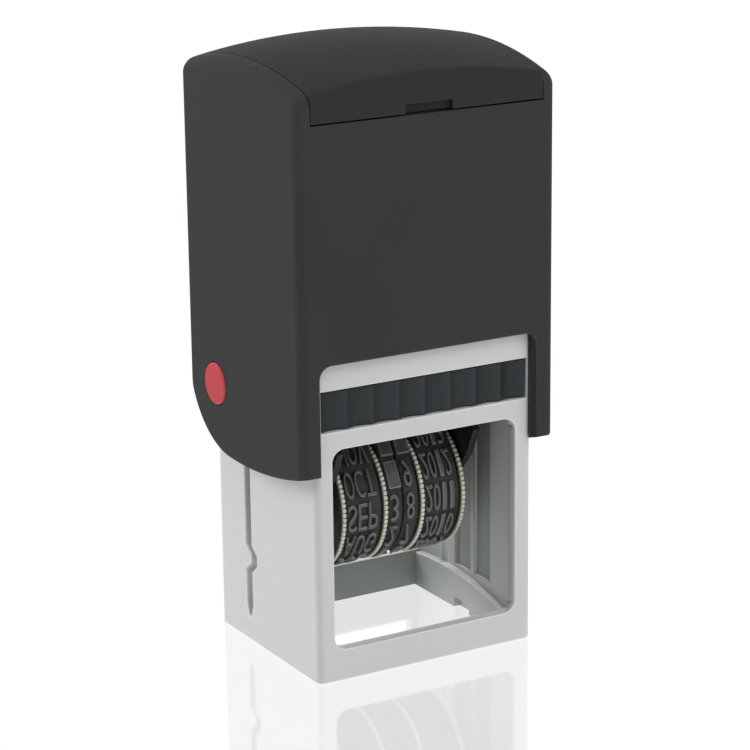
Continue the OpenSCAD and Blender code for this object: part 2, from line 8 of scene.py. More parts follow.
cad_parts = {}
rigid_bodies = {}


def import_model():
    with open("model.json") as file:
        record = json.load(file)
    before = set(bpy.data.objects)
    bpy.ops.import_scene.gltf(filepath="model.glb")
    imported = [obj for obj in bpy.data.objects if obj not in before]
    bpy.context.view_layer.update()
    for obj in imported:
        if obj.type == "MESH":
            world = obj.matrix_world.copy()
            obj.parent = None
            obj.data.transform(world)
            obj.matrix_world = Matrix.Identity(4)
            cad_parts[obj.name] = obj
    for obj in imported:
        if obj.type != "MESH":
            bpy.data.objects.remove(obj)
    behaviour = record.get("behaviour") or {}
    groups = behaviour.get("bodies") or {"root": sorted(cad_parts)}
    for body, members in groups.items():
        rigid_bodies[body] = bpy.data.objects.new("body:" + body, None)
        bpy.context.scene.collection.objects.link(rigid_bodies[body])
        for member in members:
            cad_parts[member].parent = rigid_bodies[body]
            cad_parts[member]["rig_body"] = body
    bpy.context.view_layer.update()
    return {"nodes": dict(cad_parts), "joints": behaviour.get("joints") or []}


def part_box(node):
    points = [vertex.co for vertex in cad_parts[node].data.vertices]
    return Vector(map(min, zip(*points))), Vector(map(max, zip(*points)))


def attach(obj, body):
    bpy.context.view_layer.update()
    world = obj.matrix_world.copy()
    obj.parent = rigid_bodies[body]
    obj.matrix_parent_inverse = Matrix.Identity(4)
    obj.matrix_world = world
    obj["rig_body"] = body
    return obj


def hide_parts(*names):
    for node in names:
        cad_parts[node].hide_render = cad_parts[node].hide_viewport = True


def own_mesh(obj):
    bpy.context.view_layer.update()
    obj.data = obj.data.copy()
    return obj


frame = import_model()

scene = bpy.context.scene
mm = 0.001
print("frame loaded,", len(frame["nodes"]), "nodes")


# shader maths: a wire is a socket that plain sums can be written with

def paint(code):
    # a colour as a screen shows it, turned into the linear light that shaders take
    parts = [int(code[i:i + 2], 16) / 255 for i in (1, 3, 5)]
    return tuple(p / 12.92 if p < 0.04045 else ((p + 0.055) / 1.055) ** 2.4 for p in parts) + (1,)


class Wire:
    def __init__(self, finish, socket):
        self.finish, self.socket = finish, socket

    def math(self, operation, *terms):
        return self.finish.node("ShaderNodeMath", {"operation": operation}, dict(enumerate(terms)))

    def __add__(self, other):
        return self.math("ADD", self, other)

    def __sub__(self, other):
        return self.math("SUBTRACT", self, other)

    def __rsub__(self, other):
        return self.math("SUBTRACT", other, self)

    def __mul__(self, other):
        return self.math("MULTIPLY", self, other)

    __radd__ = __add__
    __rmul__ = __mul__


class Finish:
    def __init__(self, owner, place="Object"):
        self.owner = owner
        owner.use_nodes = True
        self.tree = owner.node_tree
        self.tree.nodes.clear()
        self.place = self.node("ShaderNodeTexCoord", out=place)

    def node(self, kind, settings=None, sockets=None, out=0):
        made = self.tree.nodes.new(kind)
        for key, value in (settings or {}).items():
            setattr(made, key, value)
        for key, value in (sockets or {}).items():
            if isinstance(value, Wire):
                self.tree.links.new(value.socket, made.inputs[key])
            else:
                made.inputs[key].default_value = value
        return Wire(self, made.outputs[out]) if len(made.outputs) else None

    def noise(self, size, detail, stretch=None):
        # size of the blotches in millimetres
        where = self.place
        if stretch:
            where = self.node("ShaderNodeVectorMath", {"operation": "MULTIPLY"}, {0: where, 1: stretch})
        sockets = {"Vector": where, "Scale": 1 / (size * mm), "Detail": detail}
        return self.node("ShaderNodeTexNoise", None, sockets, "Fac")

    def span(self, value, low, high, way="LINEAR"):
        sockets = {"Value": value, "From Min": low, "From Max": high}
        return self.node("ShaderNodeMapRange", {"clamp": True, "interpolation_type": way}, sockets)

    def mix(self, share, first, second):
        return self.node("ShaderNodeMix", {"data_type": "RGBA"}, {0: share, 6: first, 7: second}, 2)

    def mark(self, name):
        return self.node("ShaderNodeAttribute", {"attribute_name": name}, out="Fac")

    def bump(self, height, depth, strength):
        # depth of the relief in millimetres
        sockets = {"Height": height, "Distance": depth * mm, "Strength": strength}
        return self.node("ShaderNodeBump", None, sockets)

    def surface(self, **sockets):
        named = {key.replace("_", " "): value for key, value in sockets.items()}
        shader = self.node("ShaderNodeBsdfPrincipled", None, named)
        self.node("ShaderNodeOutputMaterial", None, {"Surface": shader})
        return self.owner


def finish(name):
    return Finish(bpy.data.materials.new(name))


# finishes: sizes and depths are in millimetres

plastic = {
    "cloud": 14, "spark": 0.16, "scuff": 1.1, "ripple": 0.5, "cloudShare": 0.35, "rippleShare": 0.4,
    "cloudSpan": (0.3, 0.7), "scuffSpan": (0.35, 0.75), "leastPaleShare": 0.6,
    "sparkDull": 0.1, "cloudDull": 0.08, "rimGloss": 0.06, "relief": 0.7,
}


def mouldedPlastic(name, base, pale, edge, shaded, dull, grain, wearAndHighlight, specular=0.5):
    # satin plastic with a fine spark grain, slow changes of tone, paler edges that are partly wear and partly
    # painted highlight, and painted shade where the mesh marks it
    f = finish(name)
    cloud, spark = f.noise(plastic["cloud"], 3), f.noise(plastic["spark"], 2)
    rim = f.mark("rim")
    shade = f.mix(f.span(cloud, *plastic["cloudSpan"]) * plastic["cloudShare"], paint(base), paint(pale))
    # painted shade: a darker colour where the mesh's shade mark is high
    shade = f.mix(f.mark("paintedShade"), shade, paint(shaded))
    scuff, least = f.span(f.noise(plastic["scuff"], 3), *plastic["scuffSpan"]), plastic["leastPaleShare"]
    # pale rounded edges: partly scuffed wear and partly painted highlight
    wornAndHighlit = f.mix(rim * (least + (1 - least) * scuff) * wearAndHighlight, shade, paint(edge))
    rough = dull + (spark - 0.5) * plastic["sparkDull"] + (cloud - 0.5) * plastic["cloudDull"]
    height = spark + plastic["rippleShare"] * f.noise(plastic["ripple"], 2)
    return f.surface(Base_Color=wornAndHighlit, Roughness=rough - rim * plastic["rimGloss"],
                     Specular_IOR_Level=specular, Normal=f.bump(height, grain, plastic["relief"]))


steel = {
    "streak": 0.12, "drawn": (0.05, 1, 1), "streakSpan": (0.25, 0.75), "streakDull": 0.1,
    "stain": 3, "stainSpan": (0.55, 0.8), "stainMetal": 0.15, "stainDull": 0.2,
    "depth": 0.01, "relief": 0.5,
}


def brushedSteel(name, base, pale, dull):
    # steel with streaks along x, duller where it is stained
    f = finish(name)
    streak = f.noise(steel["streak"], 3, steel["drawn"])
    colour = f.mix(f.span(streak, *steel["streakSpan"]), paint(base), paint(pale))
    stain = f.span(f.noise(steel["stain"], 4), *steel["stainSpan"])
    return f.surface(Base_Color=colour, Metallic=1 - stain * steel["stainMetal"],
                     Roughness=dull + stain * steel["stainDull"] + streak * steel["streakDull"],
                     Normal=f.bump(streak, steel["depth"], steel["relief"]))


rubber = {
    "stain": 2.2, "stainSpan": (0.35, 0.7), "fine": 0.12,
    "ground": ("#343234", "#212022"), "top": ("#525052", "#3e3d41"),
    # the edge colour is a painted shadow along the band's edges by the rims
    "wornAndHighlit": "#989796", "leastPaleShare": 0.6, "edge": "#2c2f22", "rimShadowShare": 0.8,
    "dull": 0.62, "topGloss": 0.12, "fineDull": 0.2, "specular": 0.4, "depth": 0.02, "relief": 0.6,
}


def bandRubber(name):
    # ink-stained rubber, paler on the tops of the characters and paler still on their shoulders, partly from
    # wear and partly as painted highlight, with a painted shadow along the band's edges
    f = finish(name)
    stain = f.span(f.noise(rubber["stain"], 4), *rubber["stainSpan"])
    fine = f.noise(rubber["fine"], 3)
    relief, rim, edge = f.mark("relief"), f.mark("rim"), f.mark("edge")
    ground, top = (f.mix(stain, *map(paint, rubber[part])) for part in ("ground", "top"))
    least = rubber["leastPaleShare"]
    colour = f.mix(relief, ground, top)
    # pale shoulders of the characters: partly wear and partly painted highlight
    colour = f.mix(rim * (least + (1 - least) * fine), colour, paint(rubber["wornAndHighlit"]))
    # painted shadow along the band's edges, by the rims
    colour = f.mix(edge * rubber["rimShadowShare"], colour, paint(rubber["edge"]))
    rough = rubber["dull"] - relief * rubber["topGloss"] + (fine - 0.5) * rubber["fineDull"]
    return f.surface(Base_Color=colour, Roughness=rough, Specular_IOR_Level=rubber["specular"],
                     Normal=f.bump(fine, rubber["depth"], rubber["relief"]))


cream = {
    "cloud": 3, "cloudSpan": (0.3, 0.7), "fine": 0.1, "base": ("#e0dcd2", "#cdc8bd"),
    "gap": "#57523f", "gapShare": 0.75,
    # the flank colours are painted shade, where the rims and drum sit in shadow
    "flankShade": ("#2b2e22", "#3c4030"), "dull": 0.4, "gapDull": 0.25, "fineDull": 0.1,
    "depth": 0.008, "relief": 0.5,
}


def wheelPlastic(name):
    # pale plastic, grimy between the beads, with painted shade on the flanks
    f = finish(name)
    cloud, fine = f.noise(cream["cloud"], 3), f.noise(cream["fine"], 2)
    gap, flankShade = f.mark("gap"), f.mark("flankShade")
    colour = f.mix(f.span(cloud, *cream["cloudSpan"]), *map(paint, cream["base"]))
    colour = f.mix(gap * cream["gapShare"], colour, paint(cream["gap"]))
    # painted shade on the flanks
    colour = f.mix(flankShade, colour, f.mix(cloud, *map(paint, cream["flankShade"])))
    rough = cream["dull"] + gap * cream["gapDull"] + (fine - 0.5) * cream["fineDull"]
    return f.surface(Base_Color=colour, Roughness=rough, Normal=f.bump(fine, cream["depth"], cream["relief"]))


felt = {
    "fibre": 0.16, "drawn": 0.2, "fibreSpan": (0.4, 0.8), "wet": 5, "wetSpan": (0.5, 0.7),
    "base": ("#15131b", "#2d2936"), "dull": 0.85, "wetGloss": 0.35,
    "sheen": 0.25, "depth": 0.12, "relief": 0.8,
}


def padFelt(name):
    # felt soaked with ink: short crossing fibres and wetter patches
    f = finish(name)
    across = f.noise(felt["fibre"], 4, (1, felt["drawn"], 1))
    along = f.noise(felt["fibre"], 4, (felt["drawn"], 1, 1))
    fibre = across.math("MAXIMUM", across, along)
    wet = f.span(f.noise(felt["wet"], 3), *felt["wetSpan"])
    colour = f.mix(f.span(fibre, *felt["fibreSpan"]), *map(paint, felt["base"]))
    return f.surface(Base_Color=colour, Roughness=felt["dull"] - wet * felt["wetGloss"],
                     Sheen_Weight=felt["sheen"], Normal=f.bump(fibre, felt["depth"], felt["relief"]))


paper = {
    "fibre": 0.3, "drawn": (1, 0.3, 1), "fibreSpan": (0.3, 0.75), "base": ("#f1eee4", "#e2ddcf"),
    "dull": 0.75, "fibreDull": 0.15, "depth": 0.02, "relief": 0.5,
}


def cardPaper(name):
    f = finish(name)
    fibre = f.noise(paper["fibre"], 4, paper["drawn"])
    colour = f.mix(f.span(fibre, *paper["fibreSpan"]), *map(paint, paper["base"]))
    return f.surface(Base_Color=colour, Roughness=paper["dull"] + fibre * paper["fibreDull"],
                     Normal=f.bump(fibre, paper["depth"], paper["relief"]))


# the four colours of a plastic are its base, its paler clouds, its pale edges, which are partly wear and
# partly painted highlight, and its painted shade
finishes = {
    "frame_plastic": mouldedPlastic("frameGrey", "#d1d2d0", "#d8d9d7", "#fbfcfb", "#969c97",
                                    dull=0.42, grain=0.012, wearAndHighlight=1.0, specular=0.35),
    "cover_plastic": mouldedPlastic("coverCharcoal", "#3b3d3c", "#404241", "#5c5e5d", "#2c2e2d",
                                    dull=0.6, grain=0.02, wearAndHighlight=0.6, specular=0.04),
    "cap_plastic": mouldedPlastic("capCharcoal", "#343635", "#393b3a", "#555756", "#272928",
                                  dull=0.62, grain=0.018, wearAndHighlight=0.6, specular=0.04),
    "button_red": mouldedPlastic("buttonRed", "#bd323d", "#c8414b", "#dc6d74", "#9c2630",
                                 dull=0.42, grain=0.01, wearAndHighlight=0.5, specular=0.18),
    "black_plastic": mouldedPlastic("innerBlack", "#191a1b", "#262728", "#3a3b3c", "#101112",
                                    dull=0.45, grain=0.015, wearAndHighlight=0.3, specular=0.4),
    "tray_plastic": mouldedPlastic("gripDark", "#333b3d", "#384042", "#484f51", "#161d1f",
                                   dull=0.45, grain=0.012, wearAndHighlight=0.3, specular=0.22),
    "white_plastic": mouldedPlastic("washerNylon", "#d8d7d0", "#e6e5e0", "#f0f0ec", "#b9b8b0",
                                    dull=0.45, grain=0.01, wearAndHighlight=0.2),
    "spring_steel": brushedSteel("springSteel", "#8d9093", "#b9bcbf", dull=0.28),
    "pin_steel": brushedSteel("pinSteel", "#9a9c9e", "#c6c8ca", dull=0.24),
    "band_rubber": bandRubber("bandRubber"),
    "wheel_plastic": wheelPlastic("wheelCream"),
    "pad_felt": padFelt("inkFelt"),
    "card": cardPaper("cardPaper"),
}
print(len(finishes), "finishes mixed")


# making pieces

edgeRules = {
    "weld": 0.03, "weight": 60,
    "flat": 0.25, "sharp": 28,  # degrees: faces under the first are one, edges over the second are rounded
    "faceRoom": 2.2, "branchRoom": 1.3, "inLine": 0.8,  # room in widths of the rounding, and a cosine
}


def newPiece(name, bm, body, slot, *nodes, smooth=34):
    # bm is in millimetres; the piece takes the place of its nodes and rides on their body
    data = bpy.data.meshes.new(name)
    bm.transform(Matrix.Scale(mm, 4))
    bm.to_mesh(data)
    bm.free()
    data.shade_smooth()
    data.set_sharp_from_angle(angle=math.radians(smooth))
    piece = bpy.data.objects.new(name, data)
    scene.collection.objects.link(piece)
    piece.data.materials.append(finishes[slot])
    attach(piece, body)
    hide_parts(*nodes)
    return piece


def bodyOf(node):
    return frame["nodes"][node]["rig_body"]


def ramp(value, low, high):
    return max(0, min(1, (value - low) / (high - low)))


def roomFor(edge, width):
    # whether both faces are wide enough for a rounding, and nothing short branches off at the ends
    a, b = (v.co for v in edge.verts)
    along = (b - a).normalized()
    for face in edge.link_faces:
        if max((v.co - a).cross(along).length for v in face.verts) < edgeRules["faceRoom"] * width:
            return False
    for v in edge.verts:
        for other in v.link_edges:
            way = other.other_vert(v).co - v.co
            runsOn = abs(way.normalized().dot(along)) >= edgeRules["inLine"]
            if way.length < edgeRules["branchRoom"] * width and not runsOn:
                return False
    return True


def cutSquare(bm, at, normal):
    # a flat cut that stays as a seam, so that no slanting edge ends on a rounding
    everything = bm.verts[:] + bm.edges[:] + bm.faces[:]
    made = bmesh.ops.bisect_plane(bm, geom=everything, plane_co=at, plane_no=normal)
    for cut in made["geom_cut"]:
        if isinstance(cut, bmesh.types.BMEdge):
            cut.seam = True


def softened(name, node, slot, width, segments=2, chosen=None, reshape=None, paintedShade=None, cuts=()):
    # a copy of a CAD node with its chosen outer edges rounded, by half as much where there is less room
    bm = bmesh.new()
    bm.from_mesh(frame["nodes"][node].data)
    bm.transform(Matrix.Scale(1 / mm, 4))
    bmesh.ops.remove_doubles(bm, verts=bm.verts, dist=edgeRules["weld"])
    for at, normal in cuts:
        cutSquare(bm, at, normal)
    bmesh.ops.dissolve_limit(bm, angle_limit=math.radians(edgeRules["flat"]), use_dissolve_boundaries=False,
                             verts=bm.verts, edges=bm.edges, delimit={"SEAM"})
    if reshape:
        reshape(bm)
    rounding = set()
    for size in (width, width / 2):
        edges = [e for e in bm.edges if len(e.link_faces) == 2 and e.is_convex
                 and e.calc_face_angle(0) > math.radians(edgeRules["sharp"])
                 and not any(f in rounding for v in e.verts for f in v.link_faces)
                 and (not chosen or chosen(*(v.co for v in e.verts))) and roomFor(e, size)]
        made = bmesh.ops.bevel(bm, geom=edges, offset=size, offset_type="OFFSET", segments=segments,
                               profile=0.5, affect="EDGES", clamp_overlap=False, loop_slide=True)
        rounding = {f for f in rounding if f.is_valid} | set(made["faces"])
    # rim marks the rounded faces and also takes the painted highlight on ledges; the other layer holds
    # painted shade
    rim, dusk = (bm.loops.layers.float.new(key) for key in ("rim", "paintedShade"))
    bmesh.ops.recalc_face_normals(bm, faces=bm.faces)
    for face in bm.faces:
        for corner in face.loops:
            shaded = paintedShade(corner.vert.co, face.normal) if paintedShade else 0
            corner[dusk] = max(0, shaded)
            corner[rim] = max(-shaded, rounding.issuperset(corner.vert.link_faces))
    even = newPiece(name, bm, bodyOf(node), slot, node).modifiers.new("evenNormals", "WEIGHTED_NORMAL")
    even.keep_sharp = True
    even.weight = edgeRules["weight"]


# cover and top cap: the edges round the roof are well rounded

coverHigh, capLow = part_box("cover_shell")[1] / mm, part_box("top_cap")[0] / mm
shell = {
    "corner": 1.6, "top": 94.8, "arch": 65, "archY": 1.8, "crown": 105, "edge": 0.3, "fine": 0.12,
    "skirtBelow": 1, "onSkin": 0.02, "underRoof": 0.3,
    # the rounding's radius, the least x it reaches, and where its fine cuts start, end and how far apart
    "cheek": {"radius": 1.7, "from": 19.5, "x": (19.9, 22, 0.25), "y": (15.6, 18.35, 0.25),
              "z": (86.3, 93.5, 0.3)},
    "cap": {"radius": 1.1, "from": 0, "x": (0.6, 19.6, 1), "y": (16.6, 18.35, 0.16), "z": (87.6, 91.6, 0.2)},
}
settle = {
    "above": 0.2, "crease": 0.01, "reach": 0.3, "near": 1e-4, "passes": 5, "probe": 1e-3,
    "leastSlope": 0.2,
}


def planDistance(p):
    # how far p lies outside the cover's upright skin
    r = shell["corner"]
    x, y = abs(p.x) - coverHigh.x + r, abs(p.y) - coverHigh.y + r
    return math.hypot(max(x, 0), max(y, 0)) + min(max(x, y), 0) - r


def roofDistance(p):
    # the roof is a wide circle carried round the arch's axis
    lever = math.hypot(p.y - shell["archY"], p.z - shell["top"] + shell["arch"])
    return math.hypot(lever - shell["arch"] + shell["crown"], p.x) - shell["crown"]


def roundedSkin(p, r):
    # how far p lies outside the skin and the roof, with their edge rounded by r
    a, b = planDistance(p), roofDistance(p)
    return min(max(a, b), -r) + math.hypot(max(r + a, 0), max(r + b, 0))


def nearRoof(face, part):
    middle = face.calc_center_median()
    return (middle.z > capLow.z + settle["above"] and abs(middle.x) > part["from"]
            and roundedSkin(middle, settle["crease"]) > -settle["reach"])


def settled(p, radius):
    # p, brought onto the rounded skin if it lies outside
    for _ in range(settle["passes"]):
        here = roundedSkin(p, radius)
        if here < settle["near"]:
            break
        probes = [Vector(way) * settle["probe"] for way in ((1, 0, 0), (0, 1, 0), (0, 0, 1))]
        slope = Vector([roundedSkin(p + probe, radius) - here for probe in probes]) / settle["probe"]
        p = p - slope * here / max(slope.length_squared, settle["leastSlope"])
    return p


def steps(low, high, by):
    return [low + by * i for i in range(int((high - low) / by) + 1)]


def roundRoof(part):
    # cuts the faces round the roof's edge finely and settles their vertices on the rounded skin
    def reshape(bm):
        cuts = [((v * s, 0, 0), (1, 0, 0)) for v in steps(*part["x"]) for s in (-1, 1)]
        cuts += [((0, v * s, 0), (0, 1, 0)) for v in steps(*part["y"]) for s in (-1, 1)]
        cuts += [((0, 0, v), (0, 0, 1)) for v in steps(*part["z"])]
        for at, normal in cuts:
            faces = [face for face in bm.faces if nearRoof(face, part)]
            parts = {e for f in faces for e in f.edges} | {v for f in faces for v in f.verts}
            bmesh.ops.bisect_plane(bm, geom=faces + list(parts), plane_co=at, plane_no=normal,
                                   dist=settle["near"])
        for v in bm.verts:
            v.co = settled(v.co, part["radius"])
    return reshape


def onSkirt(a, b):
    # edges on the cover's outside, well below the cap
    low = max(a.z, b.z) < capLow.z - shell["skirtBelow"]
    return low and min(planDistance(a), planDistance(b)) > -shell["onSkin"]


def belowRoof(a, b):
    return max(roofDistance(a), roofDistance(b)) < -shell["underRoof"]


softened("coverShell", "cover_shell", "cover_plastic", shell["edge"], chosen=onSkirt,
         reshape=roundRoof(shell["cheek"]), cuts=[((0, 0, shell["cheek"]["z"][0]), (0, 0, 1))])
softened("topCap", "top_cap", "cap_plastic", shell["fine"], chosen=belowRoof, reshape=roundRoof(shell["cap"]))
print("cover and cap rounded")


# frame, pad tray, buttons, yoke and plates

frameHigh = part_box("frame")[1] / mm
trayLow, trayHigh = (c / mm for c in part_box("pad_tray"))
walls = {
    "edge": 0.28, "thickness": 1.4, "skin": 0.05, "inside": 17.05, "upward": 0.5, "inward": 0.5,
    "deepAt": 1.2, "side": 0.4, "backFrom": -2, "backTo": 12,
    "skirt": 3.1, "sill": 3.4, "ledgeFrom": 2.5, "ledgeLength": 0.3, "near": 0.03,
}
grip = {"edge": 0.14, "flutes": 8, "depth": 0.5, "wallBack": 1.8, "near": 0.02}
smallEdges = {"button": 0.35, "yoke": 0.25, "plate": 0.2}


def onLedge(a, b):
    # the upper edges of the arched skirts and of the sill at the back
    if min(a.z, b.z) < walls["ledgeFrom"]:
        return False
    near, least = walls["near"], walls["ledgeLength"]
    alongSkirt = all(abs(frameHigh.x - abs(p.x) - walls["skirt"]) < near for p in (a, b))
    alongSill = all(abs(frameHigh.y - p.y - walls["sill"]) < near for p in (a, b))
    return alongSkirt and abs(a.y - b.y) > least or alongSill and abs(a.x - b.x) > least


def onWalls(a, b):
    # edges on the frame's outside, those round its windows and the ledges inside
    return onLedge(a, b) or all(frameHigh.x - abs(p.x) < walls["skin"]
                                or frameHigh.y - abs(p.y) < walls["thickness"] for p in (a, b))


def insideFrame(p, normal):
    # painted shade: inner faces are darker where less light reaches, most of all in the channels and at the
    # back
    depth = ramp(min(frameHigh.x - abs(p.x), frameHigh.y - abs(p.y)), 0, walls["deepAt"])
    if normal.z > walls["upward"]:
        # painted highlight: the ledges, which face up, are lightened through the rim mark
        return -depth  # ledges catch it from above
    if normal.x * p.x < -walls["inward"] and abs(p.x) > walls["inside"]:
        return 1
    return depth * (walls["side"] + (1 - walls["side"]) * ramp(p.y, walls["backFrom"], walls["backTo"]))


def onTray(a, b):
    # all but the back of the tray's front wall, where the felt's recess leaves a thin web
    return not all(abs(frameHigh.y + p.y - grip["wallBack"]) < grip["near"] for p in (a, b))


def inFlute(p, normal):
    # painted shade: each flute is dark where it turns from the light
    if p.y > trayLow.y + grip["depth"]:
        return 0
    place = (p.x - trayLow.x) / (trayHigh.x - trayLow.x) * grip["flutes"]
    return 1 - place % 1


softened("frameBody", "frame", "frame_plastic", walls["edge"], chosen=onWalls, paintedShade=insideFrame,
         cuts=[((0, 0, 0), (1, 0, 0))])
softened("padTray", "pad_tray", "tray_plastic", grip["edge"], chosen=onTray, paintedShade=inFlute)
for side in ("Left", "Right"):
    softened("lockButton" + side, "lock_button_" + side.lower(), "button_red", smallEdges["button"],
             segments=3)
softened("yokeFork", "yoke", "black_plastic", smallEdges["yoke"])
for side in ("Left", "Right"):
    softened("plate" + side, "carrier_plate_" + side.lower(), "black_plastic", smallEdges["plate"])
print("frame, tray, buttons, yoke and plates rounded")


# nodes whose shape is right keep it and get a finish

keptNodes = {
    "index_card": "card", "nose_bar": "black_plastic", "wheel_spindle": "pin_steel",
    "pivot_pin_left": "pin_steel", "pivot_pin_right": "pin_steel",
    "spindle_clips": "pin_steel", "spindle_washers": "white_plastic",
}
for node, slot in keptNodes.items():
    frame["nodes"][node].data.materials.clear()
    frame["nodes"][node].data.materials.append(finishes[slot])
print(len(keptNodes), "nodes kept as they are")


def grid(bm, rows, closeRows=True):
    # skins rows of vertices, each row a closed ring
    count, across = len(rows), len(rows[0])
    for i in range(count if closeRows else count - 1):
        one, two = rows[i], rows[(i + 1) % count]
        for k in range(across):
            m = (k + 1) % across
            bm.faces.new((one[k], one[m], two[m], two[k]))


# return spring

spring = {"wire": 0.6, "turns": 9, "close": 0.45, "stepsPerTurn": 28, "sides": 10, "seat": 0.15}


def returnSpring():
    low, high = (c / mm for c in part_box("return_spring"))
    press = next(j for j in frame["joints"] if j["name"] == "press")
    wire, sides = spring["wire"], spring["sides"]
    radius = high.x - wire
    flat = wire * math.sin(math.radians(60))  # the solid's wire has six sides
    z0, z1 = low.z + flat, high.z - flat
    around = [2 * math.pi * k / sides for k in range(sides)]
    count = spring["turns"] * spring["stepsPerTurn"]
    bm = bmesh.new()
    rows = []
    for i in range(count + 1):
        t = i / count
        turn = 2 * math.pi * spring["turns"] * t
        z = z0 + (z1 - z0) * (t - spring["close"] * math.sin(2 * math.pi * t) / (2 * math.pi))
        out = Vector((math.cos(turn), math.sin(turn), 0))
        row = [out * (radius + wire * math.cos(a)) + Vector((0, 0, z + wire * math.sin(a))) for a in around]
        rows.append([bm.verts.new(p) for p in row])
    grid(bm, rows, closeRows=False)
    bm.faces.new(rows[0])
    bm.faces.new(rows[-1])
    bmesh.ops.recalc_face_normals(bm, faces=bm.faces)
    piece = newPiece("returnSpring", bm, "frame", "spring_steel", "return_spring", smooth=50)
    anchor = low.z - spring["seat"]
    length = high.z + spring["seat"] - anchor
    stroke = abs(press["range_m"][0]) / mm
    (length - stroke) / length
    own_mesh(piece)


returnSpring()
print("return spring wound")


# ink pad: a felt block, crowned on its faces and drawn in a little at its sides

pad = {"crown": 0.22, "crownPower": 4, "pull": 0.25, "pullPower": 6, "skinPower": 5, "corner": 0.9,
       "steps": 26, "fill": 0.8}


def inkPad():
    low, high = (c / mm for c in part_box("ink_pad"))
    middle, half = (low + high) / 2, (high - low) / 2
    r, crown, hold, skin = pad["corner"], pad["crownPower"], pad["pullPower"], pad["skinPower"]
    bm = bmesh.new()
    bmesh.ops.create_cube(bm, size=2)
    bmesh.ops.subdivide_edges(bm, edges=bm.edges, cuts=pad["steps"], use_grid_fill=True)
    for v in bm.verts:
        q = v.co.copy()
        scaled = Vector((q.x * half.x, q.y * half.y, q.z * half.z))
        core = Vector([max(min(c, h - r), r - h) for c, h in zip(scaled, half)])
        lean = scaled - core
        if lean.length > 1e-6:
            scaled = core + lean * (r / max(lean.length, r))
        bulge = (1 - q.x ** crown) * (1 - q.y ** crown)
        scaled.z -= (1 - bulge) * pad["crown"] * q.z  # low at the edges
        pull = pad["pull"] * (1 - q.z ** 2)
        scaled.x -= pull * q.x * (1 - q.y ** hold) * abs(q.x) ** skin
        scaled.y -= pull * q.y * (1 - q.x ** hold) * abs(q.y) ** skin
        v.co = scaled + middle
    bmesh.ops.recalc_face_normals(bm, faces=bm.faces)
    piece = newPiece("inkPad", bm, bodyOf("ink_pad"), "pad_felt", "ink_pad", smooth=80)


inkPad()
print("ink pad shaped")


# date wheels: a drum under the band and a rim of small round beads

dates = [("month", "month"), ("dayTens", "day_tens"), ("dayUnits", "day_units"), ("year", "year")]
rimSide = {"month": -1, "day_tens": -1, "day_units": 1, "year": 1}
wheel = {
    "beads": 84, "perBead": 8, "beadDepth": 0.32, "rim": 0.9, "round": 0.3, "drumRadius": 9.0,
    "hub": 2.7, "bore": 1.35, "web": 0.25, "webFrom": 9.0, "webSlope": 0.15,
    "across": (-1, -0.8, -0.5, 0, 0.5, 0.8, 1), "flankShadeFrom": 0.5, "flankShadeTo": 0.9,
}


def wheelOutline(inner, outer, side, rimRadius):
    # the turned outline: place along x, radius, share of bead and share of painted shade on the flank
    rimIn, webX = outer - side * wheel["rim"], outer - side * wheel["web"]
    drum = wheel["drumRadius"]
    outline = [(inner, wheel["bore"], 0, 1), (inner, drum, 0, 1), (rimIn, drum, 0, 1)]
    for v in wheel["across"]:
        x = rimIn + side * wheel["rim"] * (v + 1) / 2
        radius = rimRadius - wheel["round"] * (1 - math.sqrt(1 - v * v))
        outline.append((x, radius, 1, ramp(abs(v), wheel["flankShadeFrom"], wheel["flankShadeTo"])))
    web = [(outer, wheel["webFrom"]), (webX, wheel["webFrom"] - wheel["webSlope"]),
           (webX, wheel["hub"] + wheel["webSlope"]), (outer, wheel["hub"]), (outer, wheel["bore"])]
    return outline + [(x, radius, 0, 1) for x, radius in web]


def dateWheel(name, node, side):
    low, high = (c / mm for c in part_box(node))
    axisZ = (low.z + high.z) / 2
    inner, outer = (low.x, high.x) if side > 0 else (high.x, low.x)
    outline = wheelOutline(inner, outer, side, (high.z - low.z) / 2)
    bm = bmesh.new()
    gap, flankShade = (bm.verts.layers.float.new(key) for key in ("gap", "flankShade"))
    count = wheel["beads"] * wheel["perBead"]
    rows = []
    for i in range(count):
        turn = 2 * math.pi * i / count
        u = 2 * (i % wheel["perBead"]) / wheel["perBead"] - 1
        dip = 1 - math.sqrt(1 - u * u)
        row = []
        for x, r, share, dusk in outline:
            radius = r - share * dip * wheel["beadDepth"]
            v = bm.verts.new((x, radius * math.cos(turn), axisZ + radius * math.sin(turn)))
            v[gap] = share * dip ** 2
            v[flankShade] = dusk
            row.append(v)
        rows.append(row)
    grid(bm, rows)
    bmesh.ops.recalc_face_normals(bm, faces=bm.faces)
    newPiece(name, bm, bodyOf(node), "wheel_plastic", node, smooth=55)


for name, date in dates:
    dateWheel(name + "Wheel", date + "_wheel", rimSide[date])
print("four date wheels turned")


# date bands: a loop over the wheel and the nose, with raised mirrored characters

